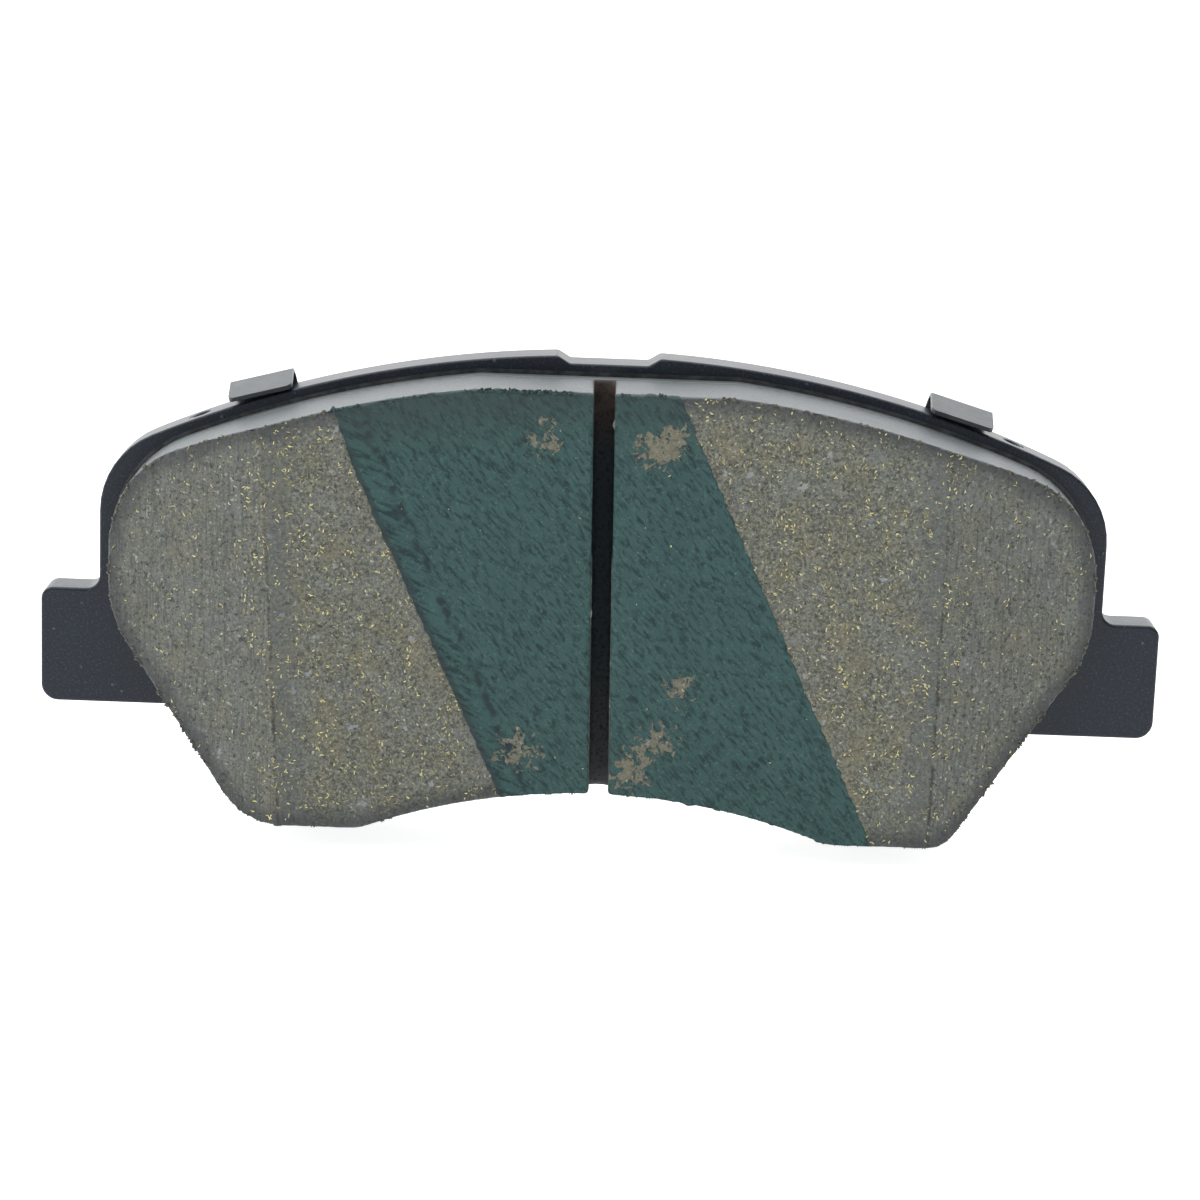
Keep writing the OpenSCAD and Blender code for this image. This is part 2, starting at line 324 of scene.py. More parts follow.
def soften_rims(solid, radius, steps=3, sharper_than=35):
    """Rounds every rim that is sharper than the angle."""
    rims = [edge for edge in solid.edges
            if len(edge.link_faces) == 2 and edge.calc_face_angle() > math.radians(sharper_than)]
    bmesh.ops.bevel(solid, geom=rims, offset=radius, segments=steps, profile=0.5,
                    affect="EDGES", clamp_overlap=True, material=-1)


def add_piece(name, solid, finish, slot, *stands_for, crease=35, weighted=True):
    """The bmesh as a finished piece that rides on the pad."""
    mesh = bpy.data.meshes.new(name)
    solid.to_mesh(mesh)
    solid.free()
    mesh.materials.append(finish.material)
    mesh.shade_smooth()
    mesh.set_sharp_from_angle(angle=math.radians(crease))
    piece = bpy.data.objects.new(name, mesh)
    bpy.context.scene.collection.objects.link(piece)
    if weighted:
        piece.modifiers.new("even_shading", "WEIGHTED_NORMAL").keep_sharp = True
    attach(piece, "root")
    if stands_for:
        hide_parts(*stands_for)
    print(name, "has", len(mesh.polygons), "faces")
    return piece


print("CAD nodes to dress:", ", ".join(sorted(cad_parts)))

# %% [markdown]
# ## Backing plate
#
# The plate is blanked from 5.5 mm steel and powder coated. Blanking rolls the rim over on one
# side, and the coat rounds the other, so a small bevel runs round both. Powder coat is never
# quite flat: it has a fine orange peel, a few specks, a film of dust, and light scuffs from
# handling. The two spring holes in the upper edge get painted shade: their walls are coloured
# near black. The finish finds their mouths by measuring from the crown's arc.

# %% Mix the powder coat and make the plate
plate_low, plate_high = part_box("backing_plate")
CROWN_TOP, CROWN_R = plate_high.z, 131 * MM
HOLE_X, HOLE_Y = 47.4 * MM, (plate_low.y + plate_high.y) / 2
PLATE_RIM = 0.35 * MM


def powder_coat(name, dark, light, gloss):
    """Satin powder coat over steel: orange peel, specks, dust, scuffs, and painted shade in the spring
    holes.
    """
    coat = Finish(name)
    haze = coat.cloud(9 * MM, detail=3)
    peel = coat.cloud(0.9 * MM, detail=2, rough=0.45)
    chosen = coat.fade(coat.cloud(2.6 * MM, detail=0), 0.56, 0.62)
    specks = coat.fade(coat.grains(1.5 * MM), 0.10, 0.16, 1, 0) * chosen
    scuffs = coat.cloud(1.0 * MM, detail=3, rough=0.7,
                        place=coat.stretched((1, 1, 0.12), (0, 35, 0)), twist=0.6)
    scuffs = coat.fade(scuffs, 0.66, 0.74) * coat.fade(coat.cloud(7 * MM), 0.45, 0.62)
    colour = coat.mix(dark, light, haze)
    colour = coat.mix(colour, display(90, 98, 106), specks * 0.5)
    colour = coat.mix(colour, display(84, 94, 104), scuffs * 0.3)
    dust = coat.cloud(0.26 * MM, detail=2, rough=0.7)
    colour = coat.mix(colour, display(66, 78, 90), coat.fade(dust, 0.5, 0.78) * 0.7)
    to_crown = (CROWN_R * CROWN_R - coat.x * coat.x).root() - coat.z + CROWN_TOP - CROWN_R
    to_hole = (coat.x.size() - HOLE_X).size()
    in_plate = (coat.y - HOLE_Y).size()
    # Painted shade: near black in the spring holes, from 0.4 mm below the crown's arc downwards. The mask
    # has no lower limit, so the plate's lower edge below the holes gets the same dark patch.
    hole_shade = coat.fade(to_crown, 0.05 * MM, 0.4 * MM) * coat.fade(to_hole, 1.5 * MM, 2.2 * MM, 1, 0)
    hole_shade = hole_shade * coat.fade(in_plate, 1.15 * MM, 1.3 * MM, 1, 0)
    colour = coat.mix(colour, display(5, 6, 7), hole_shade)
    coat.set(Base_Color=colour, Roughness=gloss + haze * 0.1 + scuffs * 0.2 + hole_shade * 0.6,
             Specular_IOR_Level=0.3,
             Normal=coat.relief(peel + dust * 0.5, 0.025 * MM, coat.relief(specks, 0.05 * MM)))
    return coat


plate_coat = powder_coat("plate_powder_coat", display(14, 21, 31), display(27, 36, 47), 0.32)
plate_solid = solid_copy("backing_plate")
soften_rims(plate_solid, PLATE_RIM)
add_piece("powder_coated_plate", plate_solid, plate_coat, "plate_paint", "backing_plate")

# %% [markdown]
# ## Glue and underlayer
#
# A film of cured adhesive and a dense underlayer lie between the plate and the friction block.
# Their edges show as thin lines around the lining. The underlayer also fills the two holes in
# the plate, which keys the lining to it. The mould leaves all the lining's sides smooth, and a
# grey overspray settles on them, so its colour is a function that the block uses again later.

# %% Mix their finishes and make them
def cured_glue():
    """Dark grey phenolic film, uneven in tone."""
    glue = Finish("cured_glue")
    drift = glue.cloud(1.6 * MM, detail=3)
    colour = glue.mix(display(34, 36, 38), display(62, 64, 66), glue.fade(drift, 0.35, 0.65))
    glue.set(Base_Color=colour, Roughness=0.45 + drift * 0.2,
             Normal=glue.relief(glue.cloud(0.5 * MM, detail=3), 0.05 * MM))
    return glue


def overspray(finish, dark, light, speckle, grit):
    """The colour of a moulded side: a grey that drifts from dark to light, with specks of grit."""
    colour = finish.mix(dark, light, finish.cloud(6 * MM, detail=3))
    return finish.mix(colour, speckle, finish.fade(grit, 0.58, 0.75) * 0.5)


def moulded_side(name):
    """The underlayer's side: moulded composite with an overspray that shines at a low angle."""
    side = Finish(name)
    grit = side.cloud(0.35 * MM, detail=3, rough=0.6)
    colour = overspray(side, display(71, 77, 80), display(97, 103, 106), display(70, 72, 72), grit)
    side.set(Base_Color=colour, Roughness=0.36 + grit * 0.15,
             Normal=side.relief(grit, 0.03 * MM, side.relief(side.cloud(2.2 * MM), 0.08 * MM)))
    return side


glue_solid = solid_copy("adhesive_film")
add_piece("glue_film", glue_solid, cured_glue(), "adhesive", "adhesive_film", weighted=False)
under_solid = solid_copy("underlayer")
soften_rims(under_solid, 0.2 * MM, steps=2)
add_piece("moulded_underlayer", under_solid, moulded_side("underlayer_side"), "underlayer",
          "underlayer")

# %% [markdown]
# ## Shim
#
# The shim is a sheet of spring steel between two thin rubber layers. Folded tabs reach over the
# plate's edge and hold it. Sheet edges are sheared, so their rims are only just broken. The
# steel is coated grey and shows faint rolling lines, and the rubber is matt with a fine stipple.

# %% Mix the shim's finishes and make it
def coated_sheet():
    """Grey coated spring steel with fine rolling lines."""
    sheet = Finish("coated_sheet")
    haze = sheet.cloud(3 * MM, detail=3)
    lines = sheet.cloud(0.25 * MM, detail=2, place=sheet.stretched((0.12, 1, 1)))
    colour = sheet.mix(display(50, 55, 58), display(80, 85, 88), haze)
    sheet.set(Base_Color=colour, Metallic=0.25, Roughness=0.3 + lines * 0.2,
              Normal=sheet.relief(lines, 0.006 * MM))
    return sheet


def nitrile(name):
    """Matt black rubber coating with a fine stipple."""
    rubber = Finish(name)
    stipple = rubber.cloud(0.28 * MM, detail=2, rough=0.6)
    drift = rubber.cloud(14 * MM, detail=3)
    colour = rubber.mix(display(38, 39, 41), display(54, 56, 58), drift)
    rubber.set(Base_Color=colour, Roughness=0.62 + stipple * 0.2,
               Normal=rubber.relief(stipple, 0.03 * MM))
    return rubber


shim_solid = solid_copy("shim_core")
soften_rims(shim_solid, 0.07 * MM, steps=2, sharper_than=50)
add_piece("shim_sheet", shim_solid, coated_sheet(), "shim_steel", "shim_core")
rubber_finish = nitrile("nitrile_rubber")
for name, node in (("shim_rubber_inside", "shim_inner_rubber"),
                   ("shim_rubber_outside", "shim_outer_rubber")):
    rubber_solid = solid_copy(node)
    soften_rims(rubber_solid, 0.04 * MM, steps=1)
    add_piece(name, rubber_solid, rubber_finish, "shim_rubber", node)

# %% [markdown]
# ## Where things lie on the lining
#
# A few slanting lines order the face: the slot, the stripe, a steeper line that also trims the
# stripe's left edge, and the two creases where the chamfers begin. The shapes, the finishes and
# the loose flecks all need to know how far a point is from them, so the lines are named once,
# in the pad's frame. One function serves numbers and shader wires alike, because a Wire knows
# the same operators.

# %% Measure the lining
face_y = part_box("friction_block")[0].y
lining_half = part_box("friction_block")[1].x
SLOT = {"middle": 0.25 * MM, "lean": 1.1, "width": 2.4 * MM}
STRIPE = {"middle": 3.4 * MM, "lean": 25, "width": 37.2 * MM}
STEEP = {"middle": -19.90 * MM, "lean": 19.4}
CREASES = {"left": {"middle": -lining_half + 19.5 * MM, "lean": 3.2},
           "right": {"middle": lining_half - 18 * MM, "lean": -0.4}}


def across(line, x, z):
    """How far x, z lies to the right of a slanting line; works on numbers and on wires."""
    lean = math.radians(line["lean"])
    return (x - line["middle"]) * math.cos(lean) + z * math.sin(lean)


print("face at", round(face_y / MM, 2), "mm, lining", round(2 * lining_half / MM, 1), "mm long")

# %% [markdown]
# ## The friction block's shape
#
# The block is moulded from powder and fibres and then ground flat, so its faces are grainy and
# its edges crumble. A voxel remesh covers the clean CAD solid with small even quads, which gives
# the noise enough points to move; the hidden back needs none, so its quads are joined again.
# The face gets fine grain and pits, and its rim gets chips. Two values are stored on every
# point for the finish: ground, which is 1 on the ground faces and 0 on the moulded side, and
# inset, the distance from the rim in millimetres.

# %% Re-cover the block with even quads
GRAIN = 0.3 * MM
EVENING = 0.3


def recovered(solid, size):
    """The same shape, covered with even quads about size across."""
    rough_mesh = bpy.data.meshes.new("rough_block")
    solid.to_mesh(rough_mesh)
    solid.free()
    rough = bpy.data.objects.new("rough_block", rough_mesh)
    bpy.context.scene.collection.objects.link(rough)
    cover = rough.modifiers.new("cover", "REMESH")
    cover.mode = "VOXEL"
    cover.voxel_size = size
    seen = rough.evaluated_get(bpy.context.evaluated_depsgraph_get())
    fine = bmesh.new()
    fine.from_mesh(seen.to_mesh())
    seen.to_mesh_clear()
    bpy.data.objects.remove(rough)
    bpy.data.meshes.remove(rough_mesh)
    return fine


block = recovered(solid_copy("friction_block"), GRAIN)
bmesh.ops.smooth_vert(block, verts=block.verts, factor=EVENING,
                      use_axis_x=True, use_axis_y=True, use_axis_z=True)
block.normal_update()
back_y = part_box("friction_block")[1].y
hidden = [face for face in block.faces
          if face.normal.y > 0.99 and face.calc_center_median().y > back_y - GRAIN]
bmesh.ops.dissolve_faces(block, faces=hidden)
print("block covered with", len(block.faces), "faces")

# %% [markdown]
# ### Grain and chips
#
# Each point moves along its own normal by a sum of noises. How much of each noise it gets
# depends on where it looks: the face gets grain and pits, and points that look half forwards
# lie on the rim and get chips. Two even moves join in. A mould needs a draft to let the block
# go, so the top side slopes down a little towards the face, and the other sides come out a
# little, which gives back what the remesh took off.

# %% Say how far each point moves
TOP_SIDE_FROM = 15 * MM
DRAFT = 0.34 * MM
KEEP = 0.10 * MM
BLOCK_DEPTH = back_y - face_y


def bumpy(place, size, shift=0.0):
    """Smooth noise from -1 to 1 with blobs about size metres across."""
    return noise.noise(Vector((place.x, place.y, place.z)) / size + Vector((shift, shift, shift)))


def share(value, start, length):
    """0 up to start, 1 from start plus length on, and a straight slope between them."""
    return min(1, max(0, (value - start) / length))


def bump_of(place, out):
    """How far a point moves along its normal, in millimetres, if it looks in the direction out."""
    front = share(-out.y, 0.2, 0.6)
    rim = max(0.0, 1 - abs(abs(out.y) - 0.65) / 0.33) if out.y < 0 else 0.0
    grain = 0.03 * bumpy(place, 1.0 * MM) + 0.03 * bumpy(place, 0.5 * MM, 7)
    pit = max(0.0, bumpy(place, 1.3 * MM, 20) - 0.42)
    chip = 1.1 * bumpy(place, 1.0 * MM, 40) + 0.7 * bumpy(place, 2.6 * MM, 60) + 0.1
    return grain * (0.5 + 0.5 * front) - 0.5 * pit * front - 0.4 * chip * rim


def lean_of(place, normal, out):
    """The top side's slope down towards the face, or the other sides' small push outwards."""
    if place.z > TOP_SIDE_FROM:
        near_face = min(1, max(0, 1 - (place.y - face_y) / BLOCK_DEPTH))
        return Vector((0, 0, -DRAFT * near_face * max(0, normal.z + 0.4 * share(-out.y, 0.2, 0.6))))
    return Vector((normal.x, 0, normal.z)) * KEEP


print("block depth", round(BLOCK_DEPTH / MM, 2), "mm")

# %% [markdown]
# All moves are worked out before the first one is made, because each depends on the smoothed
# normals of the even shape. A point's smoothed normal is the sum of its own and its
# neighbours'. The ground value is stored in the same loop, while the shape is still clean.

# %% Move the points and mark the ground faces
def is_ground(place, normal):
    """1 on the ground faces, 0 on the moulded sides and in the slot."""
    in_slot = abs(across(SLOT, place.x, place.z)) < 1.35 * MM and place.y > face_y + 0.4 * MM
    return 0 if in_slot else share(-normal.y, 0.25, 0.15)


ground = block.verts.layers.float.new("ground")
inset = block.verts.layers.float.new("inset")
facing = {}
for vert in block.verts:
    near = [edge.other_vert(vert).normal for edge in vert.link_edges]
    facing[vert] = (vert.normal + sum(near, Vector())).normalized()
moves = []
for vert in block.verts:
    place, normal, out = vert.co, vert.normal, facing[vert]
    vert[ground] = is_ground(place, normal)
    moves.append((vert, normal * bump_of(place, out) * MM + lean_of(place, normal, out)))
for vert, move in moves:
    vert.co += move
block.normal_update()
print("deepest move", round(max(move.length for _, move in moves) / MM, 2), "mm")

# %% [markdown]
# The painted shade on the face and the crumbs both follow its rim. The rim is every point that
# looks half forwards, apart from the slot's own edges. A k-d tree finds the nearest of them quickly.

# %% Find the rim and store how far each point is from it
SLOT_EDGE = 1.8 * MM
rims = [vert for vert, out in facing.items()
        if -0.85 < out.y < -0.35 and abs(across(SLOT, vert.co.x, vert.co.z)) > SLOT_EDGE]
rim_tree = KDTree(len(rims))
for index, vert in enumerate(rims):
    rim_tree.insert(vert.co, index)
rim_tree.balance()
for vert in block.verts:
    vert[inset] = rim_tree.find(vert.co)[2] / MM
rim_places = [(vert.co.copy(), facing[vert]) for vert in rims]
print("the rim has", len(rims), "points")

# %% [markdown]
# ## The friction material's finish
#
# Ground friction material is an even grey-olive mass of fine powder with black pits, pale
# mineral grains and short brass fibres. The chamfers are ground in another pass, which leaves
# faint lines along the wheel's path and a cooler tone. Around the block the mould leaves a
# smoother, overpainted skin. A value stored on every point, called ground, tells them apart.

# %% Write the recipe for the bare material
def bare_friction(finish, pitted=0.4):
    """Colour, roughness and height of the ground friction material; pitted darkens its pits."""
    powder = finish.cloud(0.34 * MM, detail=3, rough=0.75)
    coarse = finish.cloud(0.75 * MM, detail=2, rough=0.6)
    tone = finish.cloud(4 * MM, detail=3)
    colour = finish.mix(display(64, 66, 59), display(124, 126, 114), finish.fade(powder, 0.31, 0.69))
    colour = finish.mix(colour, display(68, 71, 68), finish.fade(coarse, 0.50, 0.68) * 0.45)
    colour = finish.mix(colour, display(112, 118, 120), finish.fade(tone, 0.45, 0.75) * 0.35)
    colour = finish.mix(colour, display(122, 115, 90), finish.fade(tone, 0.5, 0.25) * 0.35)
    mineral = finish.fade(finish.cloud(1.3 * MM, detail=2, rough=0.55), 0.67, 0.73)
    colour = finish.mix(colour, display(142, 148, 152), mineral * 0.7)
    chalk = finish.fade(finish.cloud(0.42 * MM, detail=1), 0.67, 0.72)
    colour = finish.mix(colour, display(176, 174, 160), chalk * 0.8)
    pits = finish.fade(finish.cloud(0.46 * MM, detail=2, rough=0.6), 0.61, 0.67)
    colour = finish.mix(colour, display(34, 35, 32), pits * pitted)
    fine = finish.fade(finish.cloud(0.28 * MM, detail=1,
                                    place=finish.stretched((1, 1, 0.5), (0, 40, 0))), 0.66, 0.74)
    fine = fine * finish.fade(finish.cloud(1.9 * MM), 0.45, 0.58)
    colour = finish.mix(colour, display(160, 152, 104), fine * 0.75)
    roughness = 0.72 + powder * 0.2 - fine * 0.3
    return colour, roughness, powder - pits * 1.4


print("recipe for the bare material ready")

# %% [markdown]
# ### Chamfers, creases, side and slot
#
# The block's whole finish starts from the bare material and lays one thing over another, each
# with its own small function: grinding lines on the chamfers, a dark broken line and a smooth
# band at each crease, a painted shade along the rim, the overspray of the sides and the sawn slot.

# %% Mix the block's finish and add the block
def grinding_lines(mat, colour, chamfer):
    """The chamfers' cooler tone and the faint dark lines along them."""
    lines = mat.cloud(0.34 * MM, detail=3, rough=0.7, place=mat.stretched((1, 1, 0.08)))
    colour = mat.mix(colour, display(100, 103, 102), chamfer * 0.3)
    return mat.mix(colour, display(62, 66, 66), chamfer * mat.fade(lines, 0.48, 0.64) * 0.5)


def crease_marks(mat, colour, crease, inwards):
    """A broken dark line on a crease and a smooth band beside it, on the face's side."""
    inside = across(CREASES[crease], mat.x, mat.z) * inwards
    wander = mat.cloud(1.4 * MM, detail=3, rough=0.7) * 0.4 * MM - 0.2 * MM
    line = mat.fade((inside + wander).size(), 0.04 * MM, 0.34 * MM, 1, 0)
    broken = mat.fade(mat.cloud(2.3 * MM, detail=4, rough=0.7), 0.34, 0.60)
    broken = broken * mat.fade(mat.z, 24 * MM, 2 * MM, 0.5, 1.0)
    colour = mat.mix(colour, display(40, 42, 42), line * broken * 0.8)
    band = mat.fade(inside, 0, 0.3 * MM) * mat.fade(inside, 1 * MM, 5 * MM, 1, 0)
    return mat.mix(colour, display(84, 89, 90), band * 0.5)


def sawn_slot(mat, grit):
    """The slot's colour: blue-grey, brown at the top, paler and dusty towards the bottom."""
    sawn = mat.mix(display(42, 52, 56), display(60, 50, 45), mat.fade(mat.z, 25 * MM, 32 * MM))
    pale = mat.fade(mat.z + grit * 9 * MM, 9 * MM, -6 * MM)
    sawn = mat.mix(sawn, display(66, 69, 70), pale)
    return mat.mix(sawn, display(20, 21, 22), mat.fade(grit, 0.5, 0.7) * 0.7)


def friction_finish():
    """Ground face, chamfers with grinding lines, sawn slot and moulded side."""
    mat = Finish("friction_material")
    left = mat.fade(across(CREASES["left"], mat.x, mat.z), 0, -0.6 * MM)
    right = mat.fade(across(CREASES["right"], mat.x, mat.z), 0, 0.6 * MM)
    chamfer = left + right
    colour, roughness, height = bare_friction(mat, 0.45 + chamfer * 0.5)
    colour = grinding_lines(mat, colour, chamfer)
    for crease, inwards in (("left", 1), ("right", -1)):
        colour = crease_marks(mat, colour, crease, inwards)
    # Painted shade: a darker grey on the face within a few millimetres of its rim, where a rounded rim
    # turns away from the light.
    rim_shade_reach = (mat.cloud(5 * MM, detail=3) * 2 + 0.2) * 2.2
    rim_shade = mat.fade(mat.stored("inset"), 0.2, rim_shade_reach, 1, 0)
    colour = mat.mix(colour, display(56, 60, 62), rim_shade * 0.75)
    grit = mat.cloud(0.4 * MM, detail=3)
    side = overspray(mat, display(72, 78, 81), display(98, 104, 107), display(72, 74, 74), grit)
    in_slot = mat.fade(across(SLOT, mat.x, mat.z).size(), 1.22 * MM, 1.32 * MM, 1, 0)
    side = mat.mix(side, sawn_slot(mat, grit), in_slot)
    side_roughness = 0.38 + grit * 0.15 + in_slot * 0.4
    face = mat.stored("ground")
    mat.set(Base_Color=mat.mix(side, colour, face),
            Roughness=roughness * face + side_roughness * (1 - face),
            Normal=mat.relief(height * face + grit * (1 - face), 0.05 * MM))
    return mat


block_copy = block.copy()
block_tree = BVHTree.FromBMesh(block)
add_piece("ground_friction_block", block, friction_finish(), "friction", "friction_block",
          crease=60, weighted=False)

# %% [markdown]
# ## Bedding-in stripe
#
# A stripe of abrasive coating is printed across the face. It beds the new pad in during the
# first stops. The coating follows the grain under it, so each half is cut from a copy of the
# block's own face: planes trim it along the stripe and the slot, the rest is thrown away, and
# what is left is lifted by a few hundredths of a millimetre and given a thickness.

# %% Trim a skin along a line
def plane_of(line, shift):
    """A point and the right-pointing normal of a slanting line, moved across by shift."""
    lean = math.radians(line["lean"])
    out = Vector((math.cos(lean), 0, math.sin(lean)))
    return Vector((line["middle"], 0, 0)) + out * shift, out


def trim(sheet, line, shift, keep_right):
    """Cuts the sheet along the line and keeps one side."""
    point, out = plane_of(line, shift)
    bmesh.ops.bisect_plane(sheet, geom=sheet.verts[:] + sheet.edges[:] + sheet.faces[:],
                           dist=0.01 * MM, plane_co=point, plane_no=out,
                           clear_inner=keep_right, clear_outer=not keep_right)


print("the stripe's left edge leans by", STRIPE["lean"], "and", STEEP["lean"], "degrees")

# %% [markdown]
# A brushed or printed coating never ends in a clean line. It swells where it dries at its edge,
# frays, wrinkles a little, and hangs over the rim in lumps. All four are small moves of the
# skin's points, and each one fades away from the place where it belongs.

# %% Cut the two halves and roughen their edges
HALF_STRIPE, HALF_SLOT = STRIPE["width"] / 2, SLOT["width"] / 2
LIFT = 0.05


def is_bare(face):
    """True for a face of the skin that the coating doesn't reach."""
    middle = face.calc_center_median()
    reach = 0.75 + 0.9 * max(0.0, bumpy(Vector((middle.x, 0, 0)), 1.6 * MM, 5) + 0.1)
    return middle.y > face_y + reach * MM or abs(across(SLOT, middle.x, middle.z)) < HALF_SLOT


def coat_move(place, normal):
    """Where a point of the skin goes, in millimetres: lifted, swollen, frayed and lumpy."""
    from_middle = across(STRIPE, place.x, place.z)
    inward = min(from_middle + HALF_STRIPE, across(STEEP, place.x, place.z))
    swell = 0.14 * math.exp(-(inward / (0.6 * MM)) ** 2) * max(0, 1 + 1.3 * bumpy(place, 1.2 * MM, 11))
    wrinkle = 0.03 * bumpy(Vector((place.x, 0, place.z * 0.5)), 0.8 * MM, 3)
    wrap = min(1, max(0, normal.z * 1.4 - 0.2))
    lump = 0.45 * wrap * max(0, bumpy(Vector((place.x, 0, 0)), 1.9 * MM, 31) - 0.1)
    edge = max(0, 1 - min(inward, HALF_STRIPE - from_middle) / (0.7 * MM))
    fray = edge * 0.3 * bumpy(place, 0.9 * MM, 17)
    return Vector((fray, -LIFT - swell - wrinkle, lump))


def coating(left_line, left_shift, right_line, right_shift):
    """One half of the stripe: a skin of the face between two lines."""
    sheet = block_copy.copy()
    trim(sheet, left_line, left_shift, True)
    if left_line is STRIPE:
        trim(sheet, STEEP, 0, True)
    trim(sheet, right_line, right_shift, False)
    bmesh.ops.delete(sheet, geom=[face for face in sheet.faces if is_bare(face)], context="FACES")
    sheet.normal_update()
    for vert in sheet.verts:
        vert.co += coat_move(vert.co, vert.normal) * MM
    return sheet


left_half = coating(STRIPE, -HALF_STRIPE, SLOT, -HALF_SLOT)
right_half = coating(SLOT, HALF_SLOT, STRIPE, HALF_STRIPE)
print("stripe halves have", len(left_half.faces), "and", len(right_half.faces), "faces")

# %% [markdown]
# ### The coating's finish
#
# The coating is a dry teal with soft dark marks that all slant one way, and steeper ones along
# its left margin. It is scuffed off in a few places, where the friction material shows. Each
# such place is a middle and a radius in millimetres, and noise makes its outline ragged.

# %% Mix the coating and add the halves
COAT = 0.06 * MM
WORN = (((-6.9, 28.4), 3.4), ((5.4, 27.6), 4.2), ((8.0, 28.8), 3.6), ((9.4, -0.1), 3.0),
        ((6.8, -6.1), 4.2), ((4.1, -9.8), 4.4), ((-8.9, -8.1), 4.2))


def bedding_coating():
    """Dry teal coating with soft dark wrinkles, worn through to the friction material in places."""
    coat = Finish("bedding_coating")
    under, under_rough, under_height = bare_friction(coat)
    under = coat.mix(under, display(126, 120, 102), 0.5)
    haze = coat.cloud(6 * MM, detail=3)
    speck = coat.cloud(0.4 * MM, detail=3, rough=0.65)
    inward = across(STRIPE, coat.x, coat.z) + HALF_STRIPE
    marks = coat.cloud(0.42 * MM, detail=4, rough=0.6,
                       place=coat.stretched((1, 1, 0.3), (0, 42, 0)), twist=0.5)
    quills = coat.cloud(0.45 * MM, detail=3, rough=0.55,
                        place=coat.stretched((1, 1, 0.2), (0, 66, 0)), twist=0.2)
    margin = coat.fade(inward, 2.2 * MM, 3.6 * MM, 1, 0)
    marks = marks * (1 - margin) + quills * margin
    colour = coat.mix(display(42, 70, 70), display(55, 86, 84), haze)
    colour = coat.mix(colour, display(15, 36, 40), coat.fade(marks, 0.43, 0.68) * 0.85)
    colour = coat.mix(colour, display(82, 110, 106), coat.fade(speck, 0.52, 0.74) * 0.5)
    wander = coat.cloud(3 * MM, detail=2) * 1.6 * MM
    spine = coat.fade((inward + wander - 3.9 * MM).size(), 0.1 * MM, 0.8 * MM, 1, 0)
    spine = spine * coat.fade(coat.cloud(1.3 * MM, detail=3), 0.42, 0.62)
    colour = coat.mix(colour, display(24, 38, 44), spine * 0.85)
    rim = coat.fade(inward + (speck - 0.5) * 0.8 * MM, 0.25 * MM, 0.9 * MM, 1, 0)
    colour = coat.mix(colour, display(38, 44, 48), rim * 0.65)
    # Painted shade: the stripe goes darker over its top few millimetres, where less light comes up from
    # the floor.
    high = coat.fade(coat.z + coat.x.size() * 0.14, 28 * MM, 35 * MM)
    colour = coat.mix(colour, display(44, 50, 52), high * 0.5)
    worn = 0.0
    flat = coat.node("CombineXYZ", {}, {0: coat.x, 2: coat.z})
    for (middle_x, middle_z), radius in WORN:
        middle = (middle_x * MM, 0, middle_z * MM)
        away = coat.node("VectorMath", {"operation": "DISTANCE"}, {0: flat, 1: middle},
                         output="Value")
        spot = coat.fade(away, 0.0, radius * MM, 1, 0)
        worn = spot + worn
    ragged = coat.cloud(1.0 * MM, detail=4, rough=0.75, twist=0.6)
    bare = coat.fade(worn * 0.2 + ragged, 0.62, 0.67) * coat.fade(worn, 0.04, 0.16)
    coat.set(Base_Color=coat.mix(colour, under, bare * 0.9), Specular_IOR_Level=0.36,
             Roughness=(0.62 + speck * 0.2) * (1 - bare) + under_rough * bare,
             Normal=coat.relief((marks * 0.6 + speck * 0.5) * (1 - bare) + under_height * bare - bare,
                                0.05 * MM))
    return coat


coating_finish = bedding_coating()
for name, half, node in (("bedding_coat_left", left_half, "bedding_stripe_left"),
                         ("bedding_coat_right", right_half, "bedding_stripe_right")):
    skin = add_piece(name, half, coating_finish, "bedding_coat", node, crease=60, weighted=False)
    thickness = skin.modifiers.new("thickness", "SOLIDIFY")
    thickness.thickness = COAT
    thickness.offset = -1

# %% [markdown]
# ## Crumbs on the rim
#
# Grinding leaves loose crumbs of friction material hanging on the rim of the face, and flakes
# of coating where the stripe crosses it. Each crumb is a lump of twenty small faces, pushed out
# of shape. Four such shapes are enough: some three thousand copies, each with its own size,
# stretch and turn, are set on points of the rim and sunk part of the way in.

# %% Shape a few crumbs and say how they lie
def crumb_shape(seed):
    """An irregular lump about one unit across."""
    shape = random.Random(seed)
    lump = bmesh.new()
    bmesh.ops.create_icosphere(lump, subdivisions=1, radius=0.5)
    for vert in lump.verts:
        vert.co *= shape.uniform(0.55, 1.25)
    mesh = bpy.data.meshes.new("crumb")
    lump.to_mesh(mesh)
    lump.free()
    return mesh


